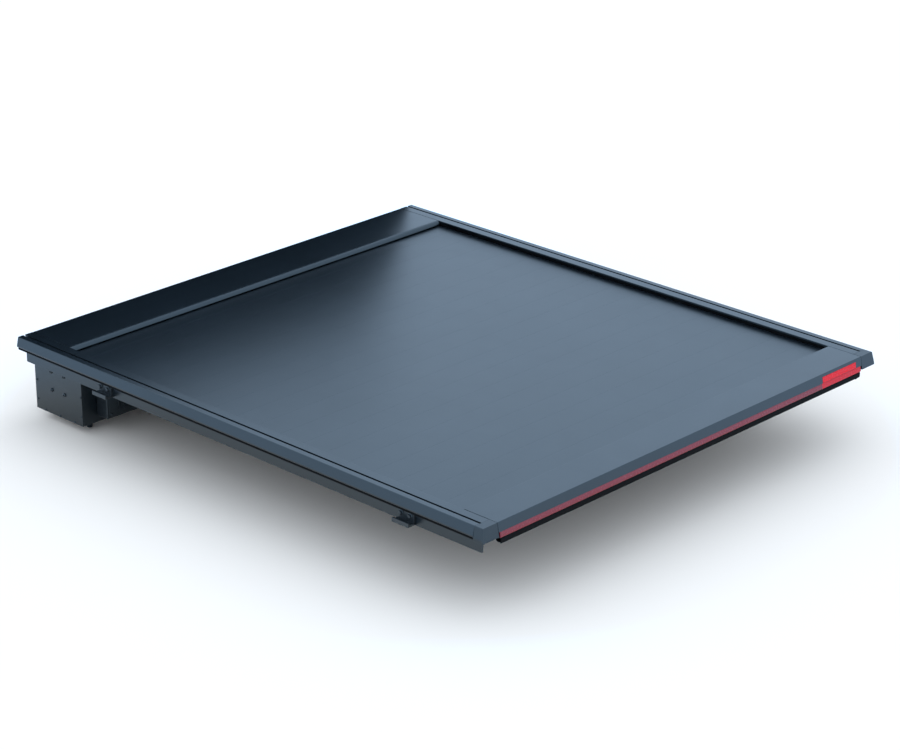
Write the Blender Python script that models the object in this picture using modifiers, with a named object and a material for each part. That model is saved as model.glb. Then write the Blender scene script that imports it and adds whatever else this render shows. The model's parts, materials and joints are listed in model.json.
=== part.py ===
"""Electric roller tonneau cover for a mid-size double-cab pickup.

Metres, +Z up, +Y towards the cab, +X to the right-hand side of the truck. The origin is on the centre
plane, midway along the rails, on the plane where the rail gaskets rest on the bed sides.
"""

import math

import bmesh
import bpy
from mathutils import Vector

# ---------------------------------------------------------------- driving dimensions
RAIL_FRONT = 0.786          # front end of both rails and of the lid
RAIL_REAR = -0.786          # top rear edge of the end caps and of the rear bar
CAP_LENGTH = 0.0237         # rail end cap, along the rail
TOP = 0.034                 # rail tops, lid and rear bar are flush at this height
REAR_SLOPE = 0.006          # the rear faces lean out by this much over their height
GAP = 0.0003                # between pieces that touch

RAIL_INNER = 0.645          # inner edge of a rail's top flange, from the centre plane
RAIL_OUTER = 0.690          # outer top edge, before it is rounded
RAIL_ROUND = 0.003
RAIL_SKIRT = 0.695          # lower edge of the sloping outer face
RAIL_BASE = 0.008           # underside of the seat flange
LEG_INNER = 0.662           # inner face of the leg that hangs inside the bed
LEG_OUTER = 0.667
LEG_BOTTOM = -0.038
CHANNEL_BACK = 0.663        # the curtain's edges run in this channel
CHANNEL_FLOOR = 0.0105
CHANNEL_ROOF = 0.0295
SLOT_CENTRE = 0.6713        # accessory slot along the rail's top
SLOT_WIDTH = 0.0060
SLOT_NECK = 0.003
SLOT_CHAMBER = (0.0115, 0.005)
RAIL_WALL = 0.0025          # around the hollow in the rail's outer half

CURTAIN_TOP = 0.021
CURTAIN_BOTTOM = 0.012
CURTAIN_HALF_WIDTH = 0.660
SLAT_COUNT = 18
CURTAIN_FRONT = 0.654       # front edge of the first slat, under the lip
SLAT_EDGE = 0.0001          # chamfer along a slat's top edges

BAR_FRONT = -0.688          # front edge of the rear bar, where the last slat ends
BAR_HALF_WIDTH = 0.644
BAR_BOTTOM = -0.002
BAR_WALL = 0.004
BAR_TONGUE = 0.015          # reach of the bar's tongue under the last slat
BAR_SEAL = (0.015, 0.0125)  # width, and drop below the bar
STRIP_HALF_WIDTH = 0.640
STRIP_TOP = 0.0115          # top of the recess that holds the light strip
STRIP_DEPTH = 0.003
MARKER_X = (0.490, 0.622)   # the red marker at the right-hand end of the bar
MARKER_Z = (0.0121, 0.0265)
MARKER_DEPTH = 0.0015
MARKER_PROUD = 0.0005
GLIDE_Y = (-0.757, -0.697)  # glide at each end of the bar, which runs in the rail's channel

LIP_TOP_Y = 0.644           # where the rounded lip over the curtain's mouth starts, at the lid
LIP_RADIUS = 0.0132
LIP_SWEEP = 72              # degrees from the lid's plane to the lip's nose
LID_THICKNESS = 0.003
LIP_TONGUE = (0.020, 0.003) # length and thickness of the lip's tongue under the lid
BRUSH_Y = (0.656, 0.664)
BULKHEAD_SEAL = (0.0065, 0.0205, 0.0315)  # how far it stands out, its lower edge and its upper edge

BOX_REAR = 0.606            # rear face of the canister
BOX_BOTTOM = -0.168
BOX_SHEET = 0.0027
BOX_END = 0.6403            # inner face of each end plate
BOX_END_THICKNESS = 0.004
BOX_END_TOP = 0.0075
REAR_WALL_TOP = 0.002
FLOOR_SHEET = 0.003
DRAIN_X = 0.600
DRAIN_BORE = 0.0050
DRAIN_PIPE = 0.0068
DRAIN_FLANGE = 0.0120

DRUM_Y = 0.697
DRUM_Z = -0.078
DRUM_RADIUS = 0.030
DRUM_BORE = 0.028
DRUM_X = (-0.600, 0.620)
FEED_Y = 0.668
FEED_Z = 0.0005
FEED_RADIUS = 0.0105
FEED_SHAFT = 0.004
ROLLER_END = 0.620
IDLER_SHAFT = 0.008
IDLER_RADIUS = 0.018
IDLER_INNER_FACE = 0.6262
MOTOR_RADIUS = 0.0225
MOTOR_HEAD_RADIUS = 0.0270
MOTOR_CROWN_RADIUS = 0.0276 # ring on the motor that the drum's open end turns on
MOTOR_HEAD_X = (-0.6320, -0.6060)
MOTOR_CROWN_X = (-0.5980, -0.5800)
MOTOR_END = 0.0400
MOTOR_SHAFT = (0.0060, 0.0780)  # radius, and the place of its end
DRIVE_WHEEL_X = (0.046, 0.070)
PLUG_DEPTH = 0.030
PLUG_END = 0.6425
BRACKET_HALF = 0.035
STRAP_THICKNESS = 0.0012
STRAP_HALF_WIDTH = 0.550

CLAMP_PLACES = (("rear", -0.540), ("front", 0.480))
CLAMP_LENGTH = 0.050
CLAMP_REACH = 0.023         # from the leg to the outside of the jaw
CLAMP_HEIGHT = 0.028
CLAMP_JAW = (0.004, 0.010)  # width and height of the jaw
CLAMP_WALL = 0.005

CONTROL_BOX_X = (-0.600, -0.470)
CONTROL_BOX_Z = (-0.150, -0.080)
CONTROL_BOX_DEPTH = 0.042

BUTTON_PLACES = (("button_close", -0.683), ("button_open", -0.647))
BUTTON_Z = -0.023
BUTTON_RADIUS = 0.0070
BUTTON_FACE = -0.6410
BUTTON_LENGTH = 0.0090
HOUSING_X = (-0.6616, -0.6436)
HOUSING_Y = (-0.705, -0.625)
HOUSING_Z = (-0.042, -0.004)

SEGMENTS = 32


# ---------------------------------------------------------------- scene and materials
def clear_scene():
    for obj in list(bpy.data.objects):
        bpy.data.objects.remove(obj, do_unlink=True)


def new_collection(name):
    collection = bpy.data.collections.new(name)
    bpy.context.scene.collection.children.link(collection)
    return collection


def principled(name, colour, roughness, metallic=0.0, emission=0.0):
    material = bpy.data.materials.new(name)
    material.use_nodes = True
    shader = material.node_tree.nodes["Principled BSDF"]
    shader.inputs["Base Color"].default_value = (*colour, 1.0)
    shader.inputs["Roughness"].default_value = roughness
    shader.inputs["Metallic"].default_value = metallic
    shader.inputs["Emission Color"].default_value = (*colour, 1.0)
    shader.inputs["Emission Strength"].default_value = emission
    return material


clear_scene()
COVER = new_collection("tonneau_cover")
CUTTERS = new_collection("cutters")

POWDER_COAT = principled("black_powder_coat", (0.030, 0.036, 0.043), 0.42)
SLAT_COAT = principled("slat_coat", (0.034, 0.041, 0.049), 0.38)
GALVANISED = principled("galvanised_sheet", (0.45, 0.46, 0.47), 0.40, metallic=1.0)
STEEL = principled("zinc_plated_steel", (0.55, 0.55, 0.56), 0.35, metallic=1.0)
BLACK_STEEL = principled("black_coated_steel", (0.030, 0.033, 0.037), 0.40)
RUBBER = principled("black_rubber", (0.012, 0.012, 0.013), 0.85)
PLASTIC = principled("black_plastic", (0.020, 0.021, 0.023), 0.55)
BUTTON_PLASTIC = principled("grey_plastic", (0.17, 0.18, 0.19), 0.50)
RED_LENS = principled("red_lens", (0.62, 0.03, 0.04), 0.18, emission=0.6)
WEBBING = principled("black_webbing", (0.016, 0.016, 0.017), 0.80)


# ---------------------------------------------------------------- modelling helpers
def place(mesh, name, material, collection=COVER):
    """An object for this mesh, in the cover or among the cutters."""
    obj = bpy.data.objects.new(name, mesh)
    collection.objects.link(obj)
    if material:
        mesh.materials.append(material)
    if collection is CUTTERS:
        obj.hide_render = True
        obj.display_type = "WIRE"
    return obj


def turn_for(axis):
    """Lays local Z along the given world axis. Local X and Y then lie along (Y, Z), (X, Z) or (X, Y)."""
    turns = {"X": (math.pi / 2, 0, math.pi / 2), "Y": (math.pi / 2, 0, 0), "Z": (0, 0, 0)}
    return turns[axis]


def extrusion(name, loops, axis, start, end, material, collection=COVER):
    """A solid of one section along an axis: its first loop is the outline, and any others are bores.

    The section's points are (y, z) along X and (x, z) along Y.
    """
    curve = bpy.data.curves.new(name, "CURVE")
    curve.dimensions = "2D"
    curve.fill_mode = "BOTH"
    curve.extrude = (end - start) / 2
    for loop in loops:
        spline = curve.splines.new("POLY")
        spline.points.add(len(loop) - 1)
        for point, (u, v) in zip(spline.points, loop):
            point.co = (u, v, 0, 1)
        spline.use_cyclic_u = True
    guide = bpy.data.objects.new(name + "_section", curve)
    guide.rotation_euler = turn_for(axis)
    offset = {"X": (1, 0, 0), "Y": (0, 1, 0), "Z": (0, 0, 1)}[axis]
    guide.location = Vector(offset) * ((start + end) / 2)
    collection.objects.link(guide)
    bpy.context.view_layer.update()
    evaluated = guide.evaluated_get(bpy.context.evaluated_depsgraph_get())
    mesh = bpy.data.meshes.new_from_object(evaluated)
    mesh.transform(guide.matrix_world)
    bpy.data.objects.remove(guide)
    welded = bmesh.new()
    welded.from_mesh(mesh)
    bmesh.ops.remove_doubles(welded, verts=welded.verts, dist=1e-6)
    bmesh.ops.recalc_face_normals(welded, faces=welded.faces)
    welded.to_mesh(mesh)
    welded.free()
    mesh.name = name
    return place(mesh, name, material, collection)


def block(name, low, high, material, collection=COVER, bevel=0.0):
    """A box between two corners, with its edges rounded where a bevel is given."""
    low = Vector(low)
    high = Vector(high)
    shape = bmesh.new()
    bmesh.ops.create_cube(shape, size=1.0)
    size = high - low
    bmesh.ops.scale(shape, verts=shape.verts, vec=size)
    mesh = bpy.data.meshes.new(name)
    shape.to_mesh(mesh)
    shape.free()
    obj = place(mesh, name, material, collection)
    obj.location = (low + high) / 2
    if bevel:
        rounding = obj.modifiers.new("edges", "BEVEL")
        rounding.width = bevel
        rounding.segments = 2
        rounding.limit_method = "ANGLE"
    return obj


def turned(name, profile, axis, centre, material, steps=SEGMENTS, closed=False):
    """A turned solid. The profile's points are (radius, place along the axis), highest place first."""
    mesh = bpy.data.meshes.new(name)
    points = [(radius, 0.0, along) for radius, along in profile]
    edges = [(i, i + 1) for i in range(len(points) - 1)]
    if closed:
        edges.append((len(points) - 1, 0))
    mesh.from_pydata(points, edges, [])
    obj = place(mesh, name, material)
    obj.location = centre
    obj.rotation_euler = turn_for(axis)
    screw = obj.modifiers.new("turn", "SCREW")
    screw.steps = steps
    screw.render_steps = steps
    screw.use_merge_vertices = not closed
    screw.merge_threshold = 0.00005
    return obj


def stepped_shaft(sections):
    """The profile of a solid shaft from (radius, start, end) sections in order along its axis."""
    points = [(0.0, sections[-1][2])]
    for radius, start, end in reversed(sections):
        points += [(radius, end), (radius, start)]
    points.append((0.0, sections[0][1]))
    return points


def ring(outer, inner, start, end):
    """The closed profile of a plain ring, for turned(..., closed=True)."""
    return [(inner, end), (outer, end), (outer, start), (inner, start)]


def bore_cutter(name, axis, centre, radius, length, segments=SEGMENTS):
    shape = bmesh.new()
    bmesh.ops.create_cone(
        shape, cap_ends=True, segments=segments, radius1=radius, radius2=radius, depth=length
    )
    mesh = bpy.data.meshes.new(name)
    shape.to_mesh(mesh)
    shape.free()
    obj = place(mesh, name, None, CUTTERS)
    obj.location = centre
    obj.rotation_euler = turn_for(axis)
    return obj


def cut(obj, cutter):
    boolean = obj.modifiers.new("cut_" + cutter.name, "BOOLEAN")
    boolean.operation = "DIFFERENCE"
    boolean.object = cutter


def mirrored(points, side):
    """The section on the given side: +1 is the right-hand side of the truck, and -1 the left."""
    return [(side * x, z) for x, z in points]


# ---------------------------------------------------------------- side rails
def rounded_shoulder():
    """The rail's rounded outer top edge, from the top to where it meets the sloping outer face."""
    lean = math.atan2(RAIL_SKIRT - RAIL_OUTER, TOP - RAIL_BASE)
    sweep = math.pi / 2 - lean
    centre_x = RAIL_OUTER - RAIL_ROUND * math.tan(sweep / 2)
    centre_z = TOP - RAIL_ROUND
    steps = 5
    angles = [sweep * step / steps for step in range(steps + 1)]
    return [(centre_x + RAIL_ROUND * math.sin(a), centre_z + RAIL_ROUND * math.cos(a)) for a in angles]


def rail_section():
    """Right-hand rail: top flange, accessory slot, sloping outer face, seat flange, leg and channel."""
    neck = SLOT_WIDTH / 2
    chamber = SLOT_CHAMBER[0] / 2
    neck_bottom = TOP - SLOT_NECK
    chamber_bottom = neck_bottom - SLOT_CHAMBER[1]
    edge = 0.0008
    hem = 0.004
    hem_round = 0.0015
    shelf_thickness = 0.0025
    shelf_edge = RAIL_INNER + 0.002
    return [
        (RAIL_INNER, TOP - edge),
        (RAIL_INNER + edge, TOP),
        (SLOT_CENTRE - neck, TOP),
        (SLOT_CENTRE - neck, neck_bottom),
        (SLOT_CENTRE - chamber, neck_bottom),
        (SLOT_CENTRE - chamber, chamber_bottom),
        (SLOT_CENTRE + chamber, chamber_bottom),
        (SLOT_CENTRE + chamber, neck_bottom),
        (SLOT_CENTRE + neck, neck_bottom),
        (SLOT_CENTRE + neck, TOP),
        *rounded_shoulder(),
        (RAIL_SKIRT, RAIL_BASE + hem),
        (RAIL_SKIRT - hem_round / 3, RAIL_BASE + hem_round * 2 / 3),
        (RAIL_SKIRT - hem_round, RAIL_BASE),
        (LEG_OUTER, RAIL_BASE),
        (LEG_OUTER, LEG_BOTTOM),
        (LEG_INNER, LEG_BOTTOM),
        (LEG_INNER, CHANNEL_FLOOR - shelf_thickness),
        (shelf_edge, CHANNEL_FLOOR - shelf_thickness),
        (shelf_edge, CHANNEL_FLOOR),
        (CHANNEL_BACK, CHANNEL_FLOOR),
        (CHANNEL_BACK, CHANNEL_ROOF),
        (RAIL_INNER, CHANNEL_ROOF),
    ]


def rail_hollow():
    """The hollow that runs through a rail below its slot."""
    inner = LEG_OUTER + RAIL_WALL
    floor = RAIL_BASE + RAIL_WALL
    roof = TOP - SLOT_NECK - SLOT_CHAMBER[1] - RAIL_WALL
    slope = (RAIL_SKIRT - RAIL_OUTER) / (TOP - RAIL_BASE)
    outer = RAIL_SKIRT - RAIL_WALL - slope * (floor - RAIL_BASE)
    outer_at_roof = outer - slope * (roof - floor)
    return [(inner, floor), (outer, floor), (outer_at_roof, roof), (inner, roof)]


def gasket_section():
    """Rubber gasket between the seat flange and the bed side."""
    inner = LEG_OUTER + 0.002
    outer = RAIL_SKIRT - 0.004
    chamfer = 0.0015
    return [
        (inner, RAIL_BASE - GAP),
        (outer, RAIL_BASE - GAP),
        (outer, chamfer),
        (outer - chamfer, 0.0),
        (inner + chamfer, 0.0),
        (inner, chamfer),
    ]


def wiper_section():
    """Lip seal under the top flange, which hangs down to the curtain."""
    face = RAIL_INNER + 0.0008
    root = 0.0060
    root_bottom = CHANNEL_ROOF - 0.0030
    neck = 0.0032
    neck_bottom = CHANNEL_ROOF - 0.0040
    tip = 0.0014
    tip_bottom = CURTAIN_TOP + 0.0004
    return [
        (face, CHANNEL_ROOF - GAP),
        (face + root, CHANNEL_ROOF - GAP),
        (face + root, root_bottom),
        (face + neck, neck_bottom),
        (face + tip, tip_bottom),
        (face, tip_bottom),
    ]


def rail_end_cap(name, side):
    """Closes the rear end of a rail. Its rear face leans out and lines up with the rear bar's."""
    bottom = 0.001
    section = [
        (RAIL_INNER, bottom),
        (RAIL_INNER, TOP),
        *rounded_shoulder(),
        (RAIL_SKIRT, RAIL_BASE),
        (RAIL_SKIRT, bottom),
    ]
    joint = RAIL_REAR + CAP_LENGTH - GAP
    cap = extrusion(name, [mirrored(section, side)], "Y", RAIL_REAR, joint, PLASTIC)
    for vertex in cap.data.vertices:
        if vertex.co.y < (RAIL_REAR + joint) / 2:
            vertex.co.y = rear_face(vertex.co.z)
    rounding = cap.modifiers.new("edges", "BEVEL")
    rounding.width = 0.0006
    rounding.segments = 2
    rounding.limit_method = "ANGLE"


def make_rails():
    rail_rear = RAIL_REAR + CAP_LENGTH
    for label, side in (("left", -1), ("right", 1)):
        for part, loops, material in (
            ("rail", (rail_section(), rail_hollow()), POWDER_COAT),
            ("rail_gasket", (gasket_section(),), RUBBER),
            ("wiper_seal", (wiper_section(),), RUBBER),
        ):
            sections = [mirrored(loop, side) for loop in loops]
            extrusion(f"{label}_{part}", sections, "Y", rail_rear, RAIL_FRONT, material)
        rail_end_cap(f"{label}_rail_end_cap", side)


def clamp_section():
    """J-shaped clamp on the rail's leg, which hooks under the bed side's flange."""
    back = LEG_OUTER + GAP
    foot = LEG_BOTTOM + 0.001
    jaw_width, jaw_height = CLAMP_JAW
    outside = back + CLAMP_REACH
    return [
        (back, foot),
        (outside, foot),
        (outside, foot + jaw_height),
        (outside - jaw_width, foot + jaw_height),
        (outside - jaw_width, foot + CLAMP_WALL),
        (back + CLAMP_WALL, foot + CLAMP_WALL),
        (back + CLAMP_WALL, foot + CLAMP_HEIGHT),
        (back, foot + CLAMP_HEIGHT),
    ]


def make_clamps():
    for label, side in (("left", -1), ("right", 1)):
        for place_name, y in CLAMP_PLACES:
            extrusion(
                f"{label}_{place_name}_clamp",
                [mirrored(clamp_section(), side)],
                "Y",
                y - CLAMP_LENGTH / 2,
                y + CLAMP_LENGTH / 2,
                BLACK_STEEL,
            )


# ---------------------------------------------------------------- curtain
def slat_section(width):
    """Hollow slat: flat top, a tongue at the front and a groove at the rear, and two chambers."""
    half = width / 2
    top = CURTAIN_TOP
    bottom = CURTAIN_BOTTOM
    wall = 0.0015
    tongue = 0.0040
    tongue_low, tongue_high = bottom + 0.0015, bottom + 0.0045
    groove = tongue + 0.0006
    groove_low, groove_high = tongue_low - 0.0005, tongue_high + 0.0005
    outline = [
        (-half, top - SLAT_EDGE),
        (-half + SLAT_EDGE, top),
        (half - SLAT_EDGE, top),
        (half, top - SLAT_EDGE),
        (half, tongue_high),
        (half + tongue, tongue_high),
        (half + tongue, tongue_low),
        (half, tongue_low),
        (half, bottom),
        (-half, bottom),
        (-half, groove_low),
        (-half + groove, groove_low),
        (-half + groove, groove_high),
        (-half, groove_high),
    ]
    low = bottom + wall
    high = top - wall
    web = wall / 2
    rear_end = -half + groove + 2 * wall
    front_end = half - 2 * wall
    chambers = [
        [(rear_end, low), (-web, low), (-web, high), (rear_end, high)],
        [(web, low), (front_end, low), (front_end, high), (web, high)],
    ]
    return [outline, *chambers]


def make_curtain():
    pitch = (CURTAIN_FRONT - BAR_FRONT) / SLAT_COUNT
    section = slat_section(pitch - GAP)
    for number in range(1, SLAT_COUNT + 1):
        centre = CURTAIN_FRONT - pitch * (number - 0.5)
        slat = extrusion(
            f"slat_{number:02d}",
            section,
            "X",
            -CURTAIN_HALF_WIDTH,
            CURTAIN_HALF_WIDTH,
            SLAT_COAT,
        )
        slat.location.y = centre


# ---------------------------------------------------------------- rear bar
def rear_face(z, inset=0.0):
    """Y of the leaning rear face at this height."""
    return RAIL_REAR - REAR_SLOPE * (TOP - z) / (TOP - BAR_BOTTOM) + inset


def bar_section():
    """Extruded rear bar, open below, with a recess for the light strip and a tongue under the last slat."""
    chamfer = 0.0010
    roof = TOP - BAR_WALL
    shelf = BAR_BOTTOM + 0.003
    foot_front = RAIL_REAR + 0.016
    tongue_top = CURTAIN_BOTTOM - GAP
    tongue_bottom = CURTAIN_BOTTOM - 0.003
    return [
        (BAR_FRONT - chamfer, TOP),
        (RAIL_REAR + chamfer, TOP),
        (rear_face(TOP - chamfer), TOP - chamfer),
        (rear_face(STRIP_TOP), STRIP_TOP),
        (rear_face(STRIP_TOP, STRIP_DEPTH), STRIP_TOP),
        (rear_face(BAR_BOTTOM, STRIP_DEPTH), BAR_BOTTOM),
        (foot_front, BAR_BOTTOM),
        (foot_front, shelf),
        (rear_face(shelf, STRIP_DEPTH + BAR_WALL), shelf),
        (rear_face(roof, STRIP_DEPTH + BAR_WALL), roof),
        (BAR_FRONT - BAR_WALL, roof),
        (BAR_FRONT - BAR_WALL, tongue_bottom),
        (BAR_FRONT + BAR_TONGUE, tongue_bottom),
        (BAR_FRONT + BAR_TONGUE, tongue_top),
        (BAR_FRONT, tongue_top),
        (BAR_FRONT, TOP - chamfer),
    ]


def strip_section():
    top = STRIP_TOP - GAP
    return [
        (rear_face(top), top),
        (rear_face(BAR_BOTTOM + GAP), BAR_BOTTOM + GAP),
        (rear_face(BAR_BOTTOM + GAP, STRIP_DEPTH - GAP), BAR_BOTTOM + GAP),
        (rear_face(top, STRIP_DEPTH - GAP), top),
    ]


def lens_section(low, high, front, rear):
    """A slab along the leaning rear face, between two heights and two depths."""
    return [
        (rear_face(high, rear), high),
        (rear_face(low, rear), low),
        (rear_face(low, front), low),
        (rear_face(high, front), high),
    ]


def bar_seal_section():
    """Bulb seal under the bar, which closes on the tailgate's top."""
    width, drop = BAR_SEAL
    rear = rear_face(BAR_BOTTOM, 0.0010)
    front = rear + width
    half_width = width / 2
    bulge = 0.0030
    centre_y = (front + rear) / 2
    centre_z = BAR_BOTTOM - drop + bulge
    steps = 8
    points = [(rear, BAR_BOTTOM - GAP)]
    for step in range(steps + 1):
        angle = math.pi + math.pi * step / steps
        points.append((centre_y + half_width * math.cos(angle), centre_z + bulge * math.sin(angle)))
    points.append((front, BAR_BOTTOM - GAP))
    return points


def make_rear_bar():
    bar = extrusion("rear_bar", [bar_section()], "X", -BAR_HALF_WIDTH, BAR_HALF_WIDTH, POWDER_COAT)
    recess = extrusion(
        "marker_recess",
        [lens_section(MARKER_Z[0] - GAP, MARKER_Z[1] + GAP, MARKER_DEPTH, -10 * MARKER_PROUD)],
        "X",
        MARKER_X[0] - GAP,
        MARKER_X[1] + GAP,
        None,
        CUTTERS,
    )
    cut(bar, recess)
    marker = lens_section(*MARKER_Z, MARKER_DEPTH - GAP, -MARKER_PROUD)
    extrusion("marker_lens", [marker], "X", *MARKER_X, RED_LENS)
    half = STRIP_HALF_WIDTH
    extrusion("light_strip", [strip_section()], "X", -half, half, RED_LENS)
    half -= 0.002
    extrusion("rear_bar_seal", [bar_seal_section()], "X", -half, half, RUBBER)
    for label, side in (("left", -1), ("right", 1)):
        ends = sorted((side * (BAR_HALF_WIDTH + GAP), side * (CHANNEL_BACK - 0.002)))
        block(
            f"rear_bar_{label}_glide",
            (ends[0], GLIDE_Y[0], CHANNEL_FLOOR + 0.0005),
            (ends[1], GLIDE_Y[1], CURTAIN_TOP - 0.0004),
            PLASTIC,
            bevel=0.0008,
        )


# ---------------------------------------------------------------- canister
def lid_section():
    """Flat lid with its front edge folded down."""
    under = TOP - LID_THICKNESS
    rear = LIP_TOP_Y + GAP
    fold = RAIL_FRONT - LID_THICKNESS
    fold_bottom = TOP - 0.015
    edge = 0.001
    return [
        (rear, TOP),
        (RAIL_FRONT - edge, TOP),
        (RAIL_FRONT, TOP - edge),
        (RAIL_FRONT, fold_bottom),
        (fold, fold_bottom),
        (fold, under),
        (rear, under),
    ]


def lip_section():
    """Trim over the curtain's mouth: a rounded face, with a tongue that goes under the lid."""
    tongue_length, tongue_thickness = LIP_TONGUE
    tongue_top = TOP - LID_THICKNESS - GAP
    tongue_bottom = tongue_top - tongue_thickness
    steps = 12
    angles = [math.radians(LIP_SWEEP) * step / steps for step in range(steps + 1)]
    face = [(LIP_TOP_Y - LIP_RADIUS * math.sin(a), TOP - LIP_RADIUS * (1 - math.cos(a))) for a in angles]
    nose_y, nose_z = face[-1]
    edge = 0.0006
    nose_bottom = nose_z - edge
    return [
        *face,
        (nose_y + edge, nose_bottom),
        (nose_y + 0.0040, nose_bottom),
        (LIP_TOP_Y + 0.0020, tongue_bottom),
        (LIP_TOP_Y + tongue_length, tongue_bottom),
        (LIP_TOP_Y + tongue_length, tongue_top),
        (LIP_TOP_Y, tongue_top),
    ]


def make_canister_skin():
    wide = BAR_HALF_WIDTH
    inside = BOX_END - GAP
    extrusion("canister_lid", [lid_section()], "X", -wide, wide, POWDER_COAT)
    extrusion("canister_lip", [lip_section()], "X", -wide, wide, POWDER_COAT)
    lid_under = TOP - LID_THICKNESS - GAP
    brush_top = lid_under - LIP_TONGUE[1] - GAP
    brush_bottom = CURTAIN_TOP + 0.0005
    block("mouth_brush", (-wide, BRUSH_Y[0], brush_bottom), (wide, BRUSH_Y[1], brush_top), RUBBER)
    seal_depth, seal_low, seal_high = BULKHEAD_SEAL
    seal_front = RAIL_FRONT + seal_depth
    block("bulkhead_seal", (-wide, RAIL_FRONT + GAP, seal_low), (wide, seal_front, seal_high), RUBBER)

    wall_front = RAIL_FRONT - LID_THICKNESS - GAP
    wall_rear = wall_front - BOX_SHEET - 0.0005
    rear_inner = BOX_REAR + BOX_SHEET
    floor_top = BOX_BOTTOM + FLOOR_SHEET
    sheets = (
        ("canister_front_wall", wall_rear, wall_front, BOX_BOTTOM, lid_under),
        ("canister_rear_wall", BOX_REAR, rear_inner, BOX_BOTTOM, REAR_WALL_TOP),
        ("canister_floor", rear_inner + GAP, wall_rear - GAP, BOX_BOTTOM, floor_top),
    )
    for name, rear, front, low, high in sheets:
        sheet = block(name, (-inside, rear, low), (inside, front, high), POWDER_COAT)
        if name == "canister_floor":
            make_drains(sheet)


def make_drains(floor):
    """Two spigots under the floor, each below a hole in it."""
    flange_bottom = -0.0025
    pipe_end = -0.0220
    profile = [
        (DRAIN_BORE, -GAP),
        (DRAIN_FLANGE, -GAP),
        (DRAIN_FLANGE, flange_bottom),
        (DRAIN_PIPE, flange_bottom),
        (DRAIN_PIPE, pipe_end),
        (DRAIN_BORE, pipe_end),
    ]
    for label, side in (("left", -1), ("right", 1)):
        centre = (side * DRAIN_X, BOX_REAR + 0.030, BOX_BOTTOM)
        cut(floor, bore_cutter(f"{label}_drain_hole", "Z", centre, DRAIN_PIPE + 0.0004, 0.02))
        turned(f"{label}_drain_spigot", profile, "Z", centre, PLASTIC, closed=True)


def end_plate_section():
    """End plate of the canister, with a flange that bolts to the rail's leg."""
    face = BOX_END + BOX_END_THICKNESS
    flange_end = LEG_INNER - GAP
    flange = 0.003
    flange_bottom = -0.012
    return [
        (BOX_END, BOX_BOTTOM),
        (face, BOX_BOTTOM),
        (face, flange_bottom),
        (flange_end, flange_bottom),
        (flange_end, 0.000),
        (flange_end - flange, 0.000),
        (flange_end - flange, flange_bottom + flange),
        (face, flange_bottom + flange),
        (face, BOX_END_TOP),
        (BOX_END, BOX_END_TOP),
    ]


def make_canister_ends():
    for label, side in (("left", -1), ("right", 1)):
        section = mirrored(end_plate_section(), side)
        plate = extrusion(f"canister_{label}_end", [section], "Y", BOX_REAR, RAIL_FRONT, POWDER_COAT)
        middle = side * (BOX_END + BOX_END_THICKNESS / 2)
        feed = (middle, FEED_Y, FEED_Z)
        cut(plate, bore_cutter(f"{label}_feed_bore", "X", feed, FEED_SHAFT + 0.0003, 0.02))
        if side > 0:
            idler = (middle, DRUM_Y, DRUM_Z)
            cut(plate, bore_cutter("idler_bore", "X", idler, IDLER_SHAFT + 0.0004, 0.02))


# ---------------------------------------------------------------- drum, motor and feed roller
def make_drum():
    axis = (0.0, DRUM_Y, DRUM_Z)
    first, last = DRUM_X
    turned("drum_tube", ring(DRUM_RADIUS, DRUM_BORE, first, last), "X", axis, GALVANISED, 48, closed=True)
    shaft_radius, shaft_end = MOTOR_SHAFT
    wheel = ring(DRUM_BORE - GAP, shaft_radius + GAP, *DRIVE_WHEEL_X)
    turned("drive_wheel", wheel, "X", axis, PLASTIC, closed=True)
    plug = [(DRUM_BORE - GAP, last - PLUG_DEPTH, last - GAP), (IDLER_SHAFT, last - GAP, PLUG_END)]
    turned("drum_end_plug", stepped_shaft(plug), "X", axis, PLASTIC)
    motor = [
        (MOTOR_HEAD_RADIUS, *MOTOR_HEAD_X),
        (MOTOR_RADIUS, MOTOR_HEAD_X[1], MOTOR_CROWN_X[0]),
        (MOTOR_CROWN_RADIUS, *MOTOR_CROWN_X),
        (MOTOR_RADIUS, MOTOR_CROWN_X[1], MOTOR_END),
        (shaft_radius, MOTOR_END, shaft_end),
    ]
    turned("tubular_motor", stepped_shaft(motor), "X", axis, STEEL)
    bearing = ring(IDLER_RADIUS, IDLER_SHAFT + GAP, IDLER_INNER_FACE, BOX_END - GAP)
    turned("idler_bearing", bearing, "X", axis, STEEL, closed=True)
    block(
        "motor_bracket",
        (-BOX_END + GAP, DRUM_Y - BRACKET_HALF, DRUM_Z - BRACKET_HALF),
        (MOTOR_HEAD_X[0] - GAP, DRUM_Y + BRACKET_HALF, DRUM_Z + BRACKET_HALF),
        GALVANISED,
        bevel=0.0015,
    )


def make_feed_roller():
    shaft_end = BOX_END + BOX_END_THICKNESS - 0.0015
    sections = [
        (FEED_SHAFT, -shaft_end, -ROLLER_END),
        (FEED_RADIUS, -ROLLER_END, ROLLER_END),
        (FEED_SHAFT, ROLLER_END, shaft_end),
    ]
    turned("feed_roller", stepped_shaft(sections), "X", (0.0, FEED_Y, FEED_Z), PLASTIC)


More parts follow.
